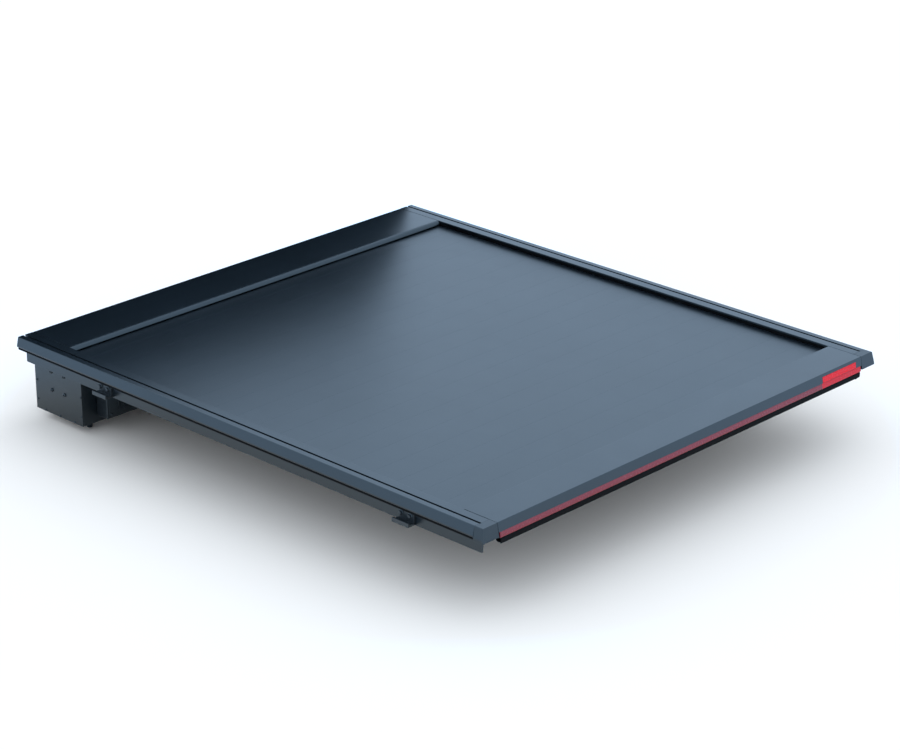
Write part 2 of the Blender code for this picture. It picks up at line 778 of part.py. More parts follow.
def strap_section():
    """Leader strap from the first slat, over the feed roller and round the front of the drum."""
    clearance = 0.0004
    over_feed = FEED_RADIUS + clearance
    over_drum = DRUM_RADIUS + clearance
    reach = Vector((DRUM_Y - FEED_Y, DRUM_Z - FEED_Z))
    tangent = math.atan2(reach.y, reach.x) + math.acos((over_feed - over_drum) / reach.length)
    end_angle = -math.radians(150)
    start_y = CURTAIN_FRONT + 0.0050

    def arc(centre, radius, start, end, count):
        angles = [start + (end - start) * i / (count - 1) for i in range(count)]
        return [(centre[0] + radius * math.cos(a), centre[1] + radius * math.sin(a)) for a in angles]

    def path(lift):
        points = [(start_y, FEED_Z + over_feed + lift)]
        points += arc((FEED_Y, FEED_Z), over_feed + lift, math.pi / 2, tangent, 5)
        points += arc((DRUM_Y, DRUM_Z), over_drum + lift, tangent, end_angle, 15)
        return points

    return path(STRAP_THICKNESS) + path(0.0)[::-1]


def make_leader_strap():
    extrusion("leader_strap", [strap_section()], "X", -STRAP_HALF_WIDTH, STRAP_HALF_WIDTH, WEBBING)


# ---------------------------------------------------------------- electrics
def make_control_box():
    rear = BOX_REAR - GAP
    left, right = CONTROL_BOX_X
    low, high = CONTROL_BOX_Z
    block("control_box", (left, rear - CONTROL_BOX_DEPTH, low), (right, rear, high), PLASTIC, bevel=0.003)
    gland = [(0.0080, 0.000, 0.0060), (0.0110, 0.0060, 0.0140), (0.0070, 0.0140, 0.0220)]
    centre = (right + GAP, rear - CONTROL_BOX_DEPTH / 2, (low + high) / 2)
    turned("cable_gland", stepped_shaft(gland), "X", centre, PLASTIC, 16)


def make_buttons():
    housing = block(
        "button_housing",
        (HOUSING_X[0], HOUSING_Y[0], HOUSING_Z[0]),
        (HOUSING_X[1], HOUSING_Y[1], HOUSING_Z[1]),
        PLASTIC,
        bevel=0.002,
    )
    depth = BUTTON_LENGTH + 0.0025
    cutter_length = 0.020
    edge = 0.0010
    for name, y in BUTTON_PLACES:
        centre = (BUTTON_FACE - depth + cutter_length / 2, y, BUTTON_Z)
        cut(housing, bore_cutter(name + "_pocket", "X", centre, BUTTON_RADIUS + 0.0004, cutter_length, 24))
        cap = [(BUTTON_RADIUS, -BUTTON_LENGTH, -edge), (BUTTON_RADIUS - edge, -edge, 0.0)]
        turned(name, stepped_shaft(cap), "X", (BUTTON_FACE, y, BUTTON_Z), BUTTON_PLASTIC, 24)


make_rails()
make_clamps()
make_curtain()
make_rear_bar()
make_canister_skin()
make_canister_ends()
make_drum()
make_feed_roller()
make_leader_strap()
make_control_box()
make_buttons()
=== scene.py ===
"""Looks of the roller tonneau cover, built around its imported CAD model. Metres, +Z up, +Y towards the cab."""

import json
import math
import random

import bmesh
import bpy
from mathutils import Matrix, Vector


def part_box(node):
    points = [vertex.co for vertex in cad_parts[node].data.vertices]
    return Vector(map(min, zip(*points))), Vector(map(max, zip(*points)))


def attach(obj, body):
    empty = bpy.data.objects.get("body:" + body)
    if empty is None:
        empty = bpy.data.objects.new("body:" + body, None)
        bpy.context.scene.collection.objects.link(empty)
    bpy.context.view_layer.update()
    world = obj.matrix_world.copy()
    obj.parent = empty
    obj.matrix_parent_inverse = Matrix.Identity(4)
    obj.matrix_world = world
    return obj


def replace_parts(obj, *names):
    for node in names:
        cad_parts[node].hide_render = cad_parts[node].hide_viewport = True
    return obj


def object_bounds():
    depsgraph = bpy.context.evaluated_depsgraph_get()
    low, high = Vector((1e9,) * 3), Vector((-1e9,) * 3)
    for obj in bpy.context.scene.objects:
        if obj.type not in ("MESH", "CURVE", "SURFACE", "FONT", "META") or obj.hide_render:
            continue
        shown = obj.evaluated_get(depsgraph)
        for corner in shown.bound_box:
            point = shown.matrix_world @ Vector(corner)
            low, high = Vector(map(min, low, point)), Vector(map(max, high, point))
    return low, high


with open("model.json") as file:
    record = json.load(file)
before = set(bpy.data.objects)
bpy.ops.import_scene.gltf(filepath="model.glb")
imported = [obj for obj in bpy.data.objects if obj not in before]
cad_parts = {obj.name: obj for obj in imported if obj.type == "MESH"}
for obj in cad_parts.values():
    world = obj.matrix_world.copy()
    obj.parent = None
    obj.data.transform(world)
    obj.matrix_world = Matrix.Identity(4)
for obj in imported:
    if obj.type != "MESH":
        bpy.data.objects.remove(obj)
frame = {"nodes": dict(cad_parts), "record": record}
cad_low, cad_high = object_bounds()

NODES = frame["nodes"]
SLOT_OF = {part["node"]: part["material_slot"] for part in frame["record"]["subparts"]}

# ---------------------------------------------------------------- camera
# Behind the cover's rear left corner, 2.6 m above the rails, looking at the cover's middle from 6.8 m away.
CAMERA_FROM = Vector((-4.564, -4.421, 2.594))
CAMERA_AT = Vector((-0.035, -0.06, -0.02))
CAMERA_LENS_MM = 112


def make_camera():
    data = bpy.data.cameras.new("camera")
    data.lens = CAMERA_LENS_MM
    data.sensor_width = 36
    data.clip_end = 60
    camera = bpy.data.objects.new("camera", data)
    camera.location = CAMERA_FROM
    camera.rotation_euler = (CAMERA_AT - CAMERA_FROM).to_track_quat("-Z", "Y").to_euler()
    bpy.context.scene.collection.objects.link(camera)
    bpy.context.scene.camera = camera


make_camera()


# ---------------------------------------------------------------- materials
COAT_SHEEN = (0.80, 0.95, 1.0, 1.0)     # the coat's reflections are slightly blue


class Surface:
    """A Principled material whose colour, roughness and relief vary with the piece's own coordinates."""

    def __init__(self, name, **constants):
        self.material = bpy.data.materials.new(name)
        self.material.use_nodes = True
        self.tree = self.material.node_tree
        self.shader = self.tree.nodes["Principled BSDF"]
        for socket, value in constants.items():
            self.shader.inputs[socket.replace("_", " ")].default_value = value
        self.place = self.node("ShaderNodeTexCoord").outputs["Object"]
        self.normal = None

    def node(self, kind, **settings):
        made = self.tree.nodes.new(kind)
        for setting, value in settings.items():
            setattr(made, setting, value)
        return made

    def feed(self, socket, value):
        """Links an output to the socket, or sets the socket to a plain value."""
        if isinstance(value, bpy.types.NodeSocket):
            self.tree.links.new(value, socket)
        else:
            socket.default_value = value

    def stretched(self, x, y, z):
        """The piece's coordinates, multiplied along each axis."""
        mapping = self.node("ShaderNodeMapping")
        self.feed(mapping.inputs["Vector"], self.place)
        mapping.inputs["Scale"].default_value = (x, y, z)
        return mapping.outputs["Vector"]

    def noise(self, per_metre, detail, place=None, distortion=0.0):
        texture = self.node("ShaderNodeTexNoise")
        self.feed(texture.inputs["Vector"], place or self.place)
        texture.inputs["Scale"].default_value = per_metre
        texture.inputs["Detail"].default_value = detail
        texture.inputs["Distortion"].default_value = distortion
        return texture.outputs["Fac"]

    def cells(self, per_metre, output="Distance", feature="F1"):
        texture = self.node("ShaderNodeTexVoronoi", feature=feature)
        self.feed(texture.inputs["Vector"], self.place)
        texture.inputs["Scale"].default_value = per_metre
        return texture.outputs[output]

    def spread(self, value, low, high, start=0.0, end=1.0):
        """Takes start..end of the value to low..high, and no further."""
        mapped = self.node("ShaderNodeMapRange")
        self.feed(mapped.inputs["Value"], value)
        for socket, number in (("From Min", start), ("From Max", end), ("To Min", low), ("To Max", high)):
            mapped.inputs[socket].default_value = number
        return mapped.outputs["Result"]

    def maths(self, operation, a, b):
        made = self.node("ShaderNodeMath", operation=operation)
        self.feed(made.inputs[0], a)
        self.feed(made.inputs[1], b)
        return made.outputs[0]

    def blend(self, share, a, b):
        """A mix of two colours."""
        made = self.node("ShaderNodeMix", data_type="RGBA")
        self.feed(made.inputs[0], share)
        self.feed(made.inputs[6], a if isinstance(a, bpy.types.NodeSocket) else (*a, 1))
        self.feed(made.inputs[7], b if isinstance(b, bpy.types.NodeSocket) else (*b, 1))
        return made.outputs[2]

    def round_edges(self, radius):
        """Rounds the look of sharp edges to this radius. Returns 1 along the edges and 0 away from them."""
        rounded = self.node("ShaderNodeBevel", samples=4)
        rounded.inputs["Radius"].default_value = radius
        facing = self.node("ShaderNodeVectorMath", operation="DOT_PRODUCT")
        self.feed(facing.inputs[0], rounded.outputs["Normal"])
        self.feed(facing.inputs[1], self.node("ShaderNodeNewGeometry").outputs["Normal"])
        self.normal = rounded.outputs["Normal"]
        bend = self.maths("SUBTRACT", 1.0, facing.outputs["Value"])
        return self.spread(bend, 0.0, 1.0, start=0.02, end=0.30)

    def relief(self, height, depth):
        """Adds relief of this depth, in metres."""
        bump = self.node("ShaderNodeBump")
        bump.inputs["Distance"].default_value = depth
        self.feed(bump.inputs["Height"], height)
        if self.normal:
            self.feed(bump.inputs["Normal"], self.normal)
        self.normal = bump.outputs["Normal"]

    def finish(self, colour, roughness):
        self.feed(self.shader.inputs["Base Color"], colour)
        self.feed(self.shader.inputs["Roughness"], roughness)
        if self.normal:
            self.feed(self.shader.inputs["Normal"], self.normal)
        return self.material


def coat(name, tone, gloss, grain_depth, rubbed_and_highlit_edges=True, smudging=1.0):
    """Powder coat on metal: fine grain, a faint orange peel and, where asked for, paler edges: slightly rubbed,
    and partly a painted highlight.
    """
    surface = Surface(name, IOR=1.56, Specular_Tint=COAT_SHEEN)
    edges = surface.round_edges(0.0007) if rubbed_and_highlit_edges else None
    patches = surface.noise(4.0, detail=5)
    if grain_depth:
        surface.relief(surface.noise(120.0, detail=1), grain_depth * 2)
        surface.relief(surface.noise(500.0, detail=2), grain_depth)
    deep = tuple(0.86 * part for part in tone)
    pale = tuple(1.16 * part for part in tone)
    colour = surface.blend(surface.spread(patches, 0, 1, 0.35, 0.65), deep, pale)
    if rubbed_and_highlit_edges:
        # Paler edges, in patches: rubbed wear, and a painted highlight along the edges.
        rub_and_highlight = surface.spread(surface.noise(60.0, detail=4), 0.0, 0.5, 0.42, 0.70)
        colour = surface.blend(surface.maths("MULTIPLY", edges, rub_and_highlight), colour, (0.030, 0.033, 0.037))
    smudges = surface.noise(11.0, detail=6, distortion=0.6)
    sheen = surface.spread(smudges, gloss - 0.025 * smudging, gloss + 0.035 * smudging, 0.30, 0.72)
    pores = surface.spread(surface.noise(900.0, detail=1), -0.02, 0.03, 0.35, 0.70)
    return surface.finish(colour, surface.maths("ADD", sheen, pores))


def rubber():
    """Matt rubber with a fine skin and a little pale bloom, set darker and less shiny than plain rubber so that
    seals in gaps show as black: painted shade.
    """
    # Near-black colour and a low specular level stand in for the shade in the gaps that the seals fill: painted
    # shade.
    surface = Surface("black_rubber", Specular_IOR_Level=0.06)
    surface.relief(surface.noise(420.0, detail=3), 0.00006)
    surface.relief(surface.noise(2200.0, detail=1), 0.00002)
    bloom = surface.spread(surface.noise(28.0, detail=6), 0, 1, 0.45, 0.85)
    colour = surface.blend(bloom, (0.0018, 0.0019, 0.0021), (0.0060, 0.0062, 0.0066))
    return surface.finish(colour, surface.spread(bloom, 0.62, 0.80))


def plastic(name, tone, gloss):
    """Moulded plastic with a leathery grain, and paler edges: a painted highlight, partly rubbed wear."""
    surface = Surface(name, IOR=1.52, Specular_Tint=COAT_SHEEN)
    edges = surface.round_edges(0.0005)
    surface.relief(surface.cells(900.0, feature="SMOOTH_F1"), 0.00003)
    surface.relief(surface.noise(260.0, detail=2), 0.00004)
    patches = surface.noise(18.0, detail=4)
    pale = tuple(1.25 * part + 0.004 for part in tone)
    colour = surface.blend(surface.spread(patches, 0, 1, 0.35, 0.70), tone, pale)
    # Edges painted paler all along: a painted highlight, partly rubbed wear.
    rubbed_and_highlit = tuple(2 * part + 0.02 for part in tone)
    colour = surface.blend(surface.maths("MULTIPLY", edges, 0.35), colour, rubbed_and_highlit)
    return surface.finish(colour, surface.spread(patches, gloss - 0.03, gloss + 0.06, 0.30, 0.70))


def galvanised():
    """Zinc-coated sheet with spangle: crystals 6 to 12 mm across, each with its own brightness."""
    surface = Surface("galvanised_sheet", Metallic=1.0)
    surface.round_edges(0.0006)
    crystals = surface.cells(115.0, output="Color")
    cloud = surface.noise(14.0, detail=4)
    scratches = surface.noise(40.0, detail=3, place=surface.stretched(0.4, 9.0, 9.0))
    surface.relief(surface.cells(115.0), 0.00005)
    surface.relief(scratches, 0.00002)
    colour = surface.blend(crystals, (0.40, 0.42, 0.44), (0.60, 0.62, 0.64))
    colour = surface.blend(surface.spread(cloud, 0, 0.5, 0.5, 0.8), colour, (0.36, 0.37, 0.38))
    return surface.finish(colour, surface.spread(scratches, 0.30, 0.46, 0.3, 0.7))


def zinc():
    """Bright zinc plating: faint drawing marks and a passivation tint that drifts from yellow to blue."""
    surface = Surface("zinc_steel", Metallic=1.0)
    surface.round_edges(0.0005)
    drawn = surface.noise(90.0, detail=3, place=surface.stretched(12.0, 1.0, 12.0))
    surface.relief(drawn, 0.000015)
    tint = surface.noise(32.0, detail=3)
    colour = surface.blend(surface.spread(tint, 0, 1, 0.35, 0.65), (0.60, 0.59, 0.53), (0.54, 0.58, 0.62))
    return surface.finish(colour, surface.spread(drawn, 0.22, 0.38, 0.3, 0.7))


def red_lens(name, tone, deep, glow, shine, prism_depth):
    """Red acrylic over a reflector of small prisms."""
    surface = Surface(name, IOR=1.49, Specular_IOR_Level=shine)
    surface.shader.inputs["Emission Color"].default_value = (*tone, 1)
    surface.shader.inputs["Emission Strength"].default_value = glow
    prisms = surface.cells(420.0, feature="DISTANCE_TO_EDGE")
    surface.relief(surface.spread(prisms, 0, 1, 0.0, 0.25), prism_depth)
    facets = surface.spread(surface.cells(420.0, output="Color"), 0, 1, 0.1, 0.9)
    return surface.finish(surface.blend(facets, deep, tone), surface.spread(facets, 0.16, 0.30))


def webbing():
    """Black polyester webbing, woven at 2 mm."""
    surface = Surface("webbing", Specular_IOR_Level=0.3, Sheen_Weight=0.25)
    ribs = [surface.node("ShaderNodeTexWave", bands_direction=direction) for direction in ("X", "DIAGONAL")]
    for rib in ribs:
        surface.feed(rib.inputs["Vector"], surface.place)
        rib.inputs["Scale"].default_value = 160.0
    weave = surface.maths("MULTIPLY", ribs[0].outputs["Fac"], ribs[1].outputs["Fac"])
    surface.relief(weave, 0.00035)
    colour = surface.blend(weave, (0.006, 0.006, 0.007), (0.026, 0.026, 0.028))
    return surface.finish(colour, surface.spread(weave, 0.70, 0.90))


COAT_TONE = (0.0032, 0.0050, 0.0068)
PLASTIC_TONE = (0.0042, 0.0058, 0.0072)

MATERIALS = {
    "powder_coat": coat("powder_coat", COAT_TONE, 0.31, 0.000008, smudging=0.6),
    "slat_coat": coat("slat_coat", COAT_TONE, 0.33, 0.0, rubbed_and_highlit_edges=False, smudging=0.35),
    "black_rubber": rubber(),
    "black_plastic": plastic("black_plastic", PLASTIC_TONE, 0.36),
    "grey_plastic": plastic("grey_plastic", (0.150, 0.160, 0.170), 0.42),
    "galvanised_sheet": galvanised(),
    "zinc_steel": zinc(),
    "black_steel": coat("black_steel", (0.010, 0.011, 0.012), 0.38, 0.000010),
    "red_lens": red_lens(
        "red_lens", (0.66, 0.012, 0.018), (0.55, 0.008, 0.012), glow=0.10, shine=0.15, prism_depth=0.00012
    ),
    "webbing": webbing(),
}
STRIP_LENS = red_lens(
    "red_strip", (0.193, 0.012, 0.018), (0.175, 0.010, 0.016), glow=0.0, shine=0.42, prism_depth=0.00003
)
# A brighter copy of the strip's lens for its end below the marker: painted light.
PAINTED_LIT_LENS = red_lens(
    "red_strip_painted_lit", (0.56, 0.012, 0.018), (0.50, 0.010, 0.015), glow=0.0, shine=0.20, prism_depth=0.00005
)


def paint_nodes():
    """Gives every CAD node the finished material of its slot."""
    for name, obj in NODES.items():
        obj.data.materials.clear()
        obj.data.materials.append(MATERIALS[SLOT_OF[name]])


paint_nodes()


# ---------------------------------------------------------------- studio
SKY = (1.10, 1.44, 1.88)                # light from all round, cool as in an open bright studio
FLOOR_HALF = 20                         # half of its side, in metres
FLOOR_DROP = 0.001                      # below the lowest point of the CAD
FLOOR_TONE = (0.95, 0.76, 0.61)         # near the cover: neutral under that light, so the shadow stays grey
FAR_FLOOR_TONE = (0.93, 0.96, 1.00)     # further off: cooler, for the cover's sides to reflect
FLOOR_BLEND = (1.1, 1.5)                # metres from the middle over which one turns into the other
FLAG_Y = 0.86                           # a black card stands here, where the cab's rear wall would be
FLAG_TONE = (0.035, 0.045, 0.052)
FLAG_OUTLINE = (                        # X from the middle, Z from the top of the CAD
    (-0.72, -0.06), (0.78, -0.06), (0.74, 0.075), (0.695, 0.16), (0.67, 0.21), (0.62, 0.27), (0.56, 0.315),
    (0.46, 0.34), (-0.72, 0.34),
)


def stage_object(name, mesh, location):
    """An object of the studio, which isn't part of the cover."""
    obj = bpy.data.objects.new(name, mesh)
    obj.location = location
    bpy.context.scene.collection.objects.link(obj)
    return obj


def make_floor():
    shape = bmesh.new()
    bmesh.ops.create_grid(shape, x_segments=1, y_segments=1, size=FLOOR_HALF)
    mesh = bpy.data.meshes.new("floor")
    shape.to_mesh(mesh)
    shape.free()
    surface = Surface("pale_floor", Specular_IOR_Level=0.0)
    distance = surface.node("ShaderNodeVectorMath", operation="LENGTH")
    surface.feed(distance.inputs[0], surface.place)
    share = surface.spread(distance.outputs["Value"], 0, 1, *FLOOR_BLEND)
    mesh.materials.append(surface.finish(surface.blend(share, FLOOR_TONE, FAR_FLOOR_TONE), 0.9))
    stage_object("floor", mesh, (0, 0, cad_low[2] - FLOOR_DROP))


def make_flag():
    """A black card beyond the lid, which the coat reflects as it would the cab.

    It is black on the cover's side only, and no camera sees it.
    """
    shape = bmesh.new()
    shape.faces.new([shape.verts.new((x, 0, z)) for x, z in FLAG_OUTLINE])
    mesh = bpy.data.meshes.new("flag")
    shape.to_mesh(mesh)
    shape.free()
    material = bpy.data.materials.new("flag_black")
    material.use_nodes = True
    tree = material.node_tree
    shader = tree.nodes["Principled BSDF"]
    shader.inputs["Base Color"].default_value = (*FLAG_TONE, 1)
    shader.inputs["Roughness"].default_value = 0.9
    shader.inputs["Specular IOR Level"].default_value = 0.0
    clear = tree.nodes.new("ShaderNodeBsdfTransparent")
    sides = tree.nodes.new("ShaderNodeMixShader")
    tree.links.new(tree.nodes.new("ShaderNodeNewGeometry").outputs["Backfacing"], sides.inputs[0])
    tree.links.new(shader.outputs[0], sides.inputs[1])
    tree.links.new(clear.outputs[0], sides.inputs[2])
    tree.links.new(sides.outputs[0], tree.nodes["Material Output"].inputs["Surface"])
    mesh.materials.append(material)
    flag = stage_object("flag", mesh, (0, FLAG_Y, cad_high[2]))
    flag.visible_camera = False


def make_studio():
    world = bpy.data.worlds.new("studio")
    world.use_nodes = True
    background = world.node_tree.nodes["Background"]
    background.inputs["Color"].default_value = (*SKY, 1.0)
    background.inputs["Strength"].default_value = 1.0
    bpy.context.scene.world = world
    bpy.context.scene.view_settings.view_transform = "Standard"
    make_floor()
    make_flag()


make_studio()


# ---------------------------------------------------------------- modelling helpers
def new_piece(name, shape, slot, body, sharp_degrees=32, material=None):
    """A finished piece from a bmesh: shaded, painted from its slot, and riding on a body."""
    bmesh.ops.recalc_face_normals(shape, faces=shape.faces)
    mesh = bpy.data.meshes.new(name)
    shape.to_mesh(mesh)
    shape.free()
    mesh.materials.append(material or MATERIALS[slot])
    mesh.shade_smooth()
    mesh.set_sharp_from_angle(angle=math.radians(sharp_degrees))
    obj = bpy.data.objects.new(name, mesh)
    bpy.context.scene.collection.objects.link(obj)
    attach(obj, body)
    return obj


def reach_at(angle, radius, outline):
    """Distance from the axis to a ring's outline. A hexagon's radius is to its corners."""
    if outline == "round":
        return radius
    sixth = math.pi / 3
    return radius * math.cos(sixth / 2) / math.cos(angle % sixth - sixth / 2)


def add_rings(shape, rings, centre, direction, segments=24, closed=False):
    """Adds a solid that runs through rings of (radius, height, outline) set up along a direction.

    A closed one joins its last ring to its first, as a tube does, and has no end faces.
    """
    turn = Vector(direction).to_track_quat("Z", "Y").to_matrix().to_4x4()
    place = Matrix.Translation(Vector(centre)) @ turn
    loops = []
    for radius, height, outline in rings:
        loop = []
        for step in range(segments):
            angle = 2 * math.pi * step / segments
            reach = reach_at(angle, radius, outline)
            point = Vector((reach * math.cos(angle), reach * math.sin(angle), height))
            loop.append(shape.verts.new(place @ point))
        loops.append(loop)
    pairs = list(zip(loops, loops[1:]))
    if closed:
        pairs.append((loops[-1], loops[0]))
    else:
        shape.faces.new(loops[0][::-1])
        shape.faces.new(loops[-1])
    for below, above in pairs:
        for step in range(segments):
            after = (step + 1) % segments
            shape.faces.new((below[step], below[after], above[after], above[step]))


def socket_screw(radius, height):
    """Rings of a button-head screw with a hexagon socket."""
    return [
        (radius, 0.0, "round"),
        (radius, 0.22 * height, "round"),
        (0.90 * radius, 0.62 * height, "round"),
        (0.68 * radius, 0.93 * height, "round"),
        (0.52 * radius, height, "round"),
        (0.46 * radius, 0.96 * height, "hexagon"),
        (0.44 * radius, 0.30 * height, "hexagon"),
    ]


def flange_bolt(radius, height):
    """Rings of a hexagon head on a flange. The radius is to the hexagon's corners."""
    return [
        (1.32 * radius, 0.0, "round"),
        (1.32 * radius, 0.12 * height, "round"),
        (1.06 * radius, 0.26 * height, "round"),
        (radius, 0.30 * height, "hexagon"),
        (radius, 0.90 * height, "hexagon"),
        (0.84 * radius, height, "round"),
    ]


def fastener_set(name, rings, places, direction):
    """A set of like fasteners on the frame, as one piece of separate solids whose heads face one way."""
    shape = bmesh.new()
    for centre in places:
        add_rings(shape, rings, centre, direction)
    new_piece(name, shape, "black_steel", "frame")


def add_block(shape, low, high, rounding):
    """Adds a box between two corners, with its edges rounded."""
    low = Vector(low)
    high = Vector(high)
    size = Matrix.Diagonal((*(high - low), 1))
    made = bmesh.ops.create_cube(shape, size=1.0, matrix=Matrix.Translation((low + high) / 2) @ size)
    edges = {edge for vertex in made["verts"] for edge in vertex.link_edges}
    bmesh.ops.bevel(shape, geom=list(edges), offset=rounding, segments=3, profile=0.5, affect="EDGES")


SIDES = (("left", -1), ("right", 1))
SHEET_GAP = 0.0003      # between CAD pieces that touch


# ---------------------------------------------------------------- clamp bolts
LEG_THICKNESS = 0.005       # of a rail's leg, and of a clamp's upright
CLAMP_BOLT = (0.0052, 0.0048)       # radius and height of its head
CLAMP_NUT = (0.0052, 0.0055)
CLAMP_BOLT_SPREAD = 0.014   # to either side of the clamp's middle
CLAMP_BOLT_DROP = 0.0085    # below the clamp's top


def make_clamp_bolts():
    """Two bolts through each clamp and the rail's leg: heads inside the bed, nuts under the bed side."""
    for label, side in SIDES:
        for end in ("rear", "front"):
            low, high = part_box(f"{label}_{end}_clamp")
            upright = low.x if side > 0 else high.x
            inside = upright - side * (SHEET_GAP + LEG_THICKNESS)
            outside = upright + side * LEG_THICKNESS
            middle = (low.y + high.y) / 2
            height = high.z - CLAMP_BOLT_DROP
            rows = [middle - CLAMP_BOLT_SPREAD, middle + CLAMP_BOLT_SPREAD]
            heads = [(inside, y, height) for y in rows]
            nuts = [(outside, y, height) for y in rows]
            fastener_set(f"{label}_{end}_clamp_bolts", flange_bolt(*CLAMP_BOLT), heads, (-side, 0, 0))
            fastener_set(f"{label}_{end}_clamp_nuts", flange_bolt(*CLAMP_NUT), nuts, (side, 0, 0))


make_clamp_bolts()


# ---------------------------------------------------------------- canister fasteners
PLATE_THICKNESS = 0.004             # of the canister's end plates
FLANGE_THICKNESS = 0.003            # of their flanges, which are bolted to the rails' legs
SHEET_SCREW = (0.0032, 0.0022)      # radius and height of each kind's head
FLANGE_SCREW = (0.0040, 0.0030)
BRACKET_SCREW = (0.0050, 0.0038)
BEARING_SCREW = (0.0042, 0.0032)
SHEET_SCREW_TOP = -0.015            # Z of the upper end of the rows along the walls
SHEET_SCREW_INSET = 0.0015          # from the middle of a sheet's edge towards the canister's inside
FLANGE_SCREW_LEVEL = -0.0045        # Z
BRACKET_SCREW_INSET = 0.0105        # from the motor bracket's corners
BEARING_SCREW_CIRCLE = 0.0245       # radius of the circle of screws in the idler bearing


def plate_face(side):
    """X of an end plate's outer face."""
    low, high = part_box("canister_floor")
    return (high.x if side > 0 else low.x) + side * (SHEET_GAP + PLATE_THICKNESS)


def spread_between(low, high, count):
    """Even places between two limits, half a step in from each."""
    step = (high - low) / count
    return [low + step * (number + 0.5) for number in range(count)]


def make_sheet_screws():
    """Screws through the end plates into the edges of the walls and the floor."""
    front_low, front_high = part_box("canister_front_wall")
    rear_low, rear_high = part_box("canister_rear_wall")
    floor_low, floor_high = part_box("canister_floor")
    front_y = (front_low.y + front_high.y) / 2 - SHEET_SCREW_INSET
    rear_y = (rear_low.y + rear_high.y) / 2 + SHEET_SCREW_INSET
    floor_z = (floor_low.z + floor_high.z) / 2 + SHEET_SCREW_INSET
    for label, side in SIDES:
        face = plate_face(side)
        places = [(face, front_y, z) for z in spread_between(front_low.z, SHEET_SCREW_TOP, 3)]
        places += [(face, rear_y, z) for z in spread_between(rear_low.z, SHEET_SCREW_TOP, 3)]
        places += [(face, y, floor_z) for y in spread_between(floor_low.y, floor_high.y, 3)]
        fastener_set(f"{label}_sheet_screws", socket_screw(*SHEET_SCREW), places, (side, 0, 0))


def make_end_plate_bolts():
    """Bolts through each end plate's upturned flange into the rail's leg."""
    for label, side in SIDES:
        low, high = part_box(f"canister_{label}_end")
        flange_face = (high.x if side > 0 else low.x) - side * FLANGE_THICKNESS
        places = [(flange_face, y, FLANGE_SCREW_LEVEL) for y in spread_between(low.y, high.y, 3)]
        fastener_set(f"{label}_flange_bolts", socket_screw(*FLANGE_SCREW), places, (-side, 0, 0))


def make_drive_screws():
    """Four screws that hold the motor bracket, and three that hold the idler bearing."""
    low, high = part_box("motor_bracket")
    rows = (low.y + BRACKET_SCREW_INSET, high.y - BRACKET_SCREW_INSET)
    levels = (low.z + BRACKET_SCREW_INSET, high.z - BRACKET_SCREW_INSET)
    places = [(plate_face(-1), y, z) for y in rows for z in levels]
    fastener_set("motor_bracket_screws", socket_screw(*BRACKET_SCREW), places, (-1, 0, 0))
    low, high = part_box("idler_bearing")
    centre = (low + high) / 2
    places = []
    for third in range(3):
        angle = math.pi / 2 + third * 2 * math.pi / 3
        y = centre.y + BEARING_SCREW_CIRCLE * math.cos(angle)
        z = centre.z + BEARING_SCREW_CIRCLE * math.sin(angle)
        places.append((plate_face(1), y, z))
    fastener_set("idler_bearing_screws", socket_screw(*BEARING_SCREW), places, (1, 0, 0))


make_sheet_screws()
make_end_plate_bolts()
make_drive_screws()


# ---------------------------------------------------------------- drains and gland
SPIGOT_BORE = 0.0050        # radius
SPIGOT_FLANGE = ((0.0118, 0.0), (0.0120, -0.0004), (0.0120, -0.0018), (0.0115, -0.0024))
SPIGOT_NECK = ((0.0074, -0.0028), (0.0067, -0.0040), (0.0067, -0.0075))
BARBS = 3
BARB_TOP = -0.0078          # of the first barb, from the spigot's top
BARB_PITCH = 0.0046
GLAND_RIBS = 12
GLAND_RIB_HALF = Vector((0.0026, 0.0006, 0.0006))
GLAND_RIB_EDGE = 0.0003     # rounding of a rib's edges
GLAND_RIB_REACH = 0.01045   # from the gland's axis to the middle of a rib
GLAND_RIB_FROM = 0.0106     # from the gland's foot to the middle of a rib


def make_drain_spigots():
    """Barbed spigots under the canister, with the bore right through."""
    for label, _ in SIDES:
        node = f"{label}_drain_spigot"
        low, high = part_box(node)
        centre = Vector(((low.x + high.x) / 2, (low.y + high.y) / 2, high.z))
        length = high.z - low.z
        rings = [(SPIGOT_BORE, 0.0), *SPIGOT_FLANGE, *SPIGOT_NECK]
        for barb in range(BARBS):
            top = BARB_TOP - BARB_PITCH * barb
            rings += [(0.0076, top), (0.0076, top - 0.0008), (0.0066, top - 0.0044)]
        rings += [(0.0062, -length), (SPIGOT_BORE, -length)]
        shape = bmesh.new()
        turned = [(radius, height, "round") for radius, height in rings]
        add_rings(shape, turned, centre, (0, 0, 1), segments=40, closed=True)
        spigot = new_piece(f"{label}_barbed_spigot", shape, "black_plastic", "frame")
        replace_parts(spigot, node)


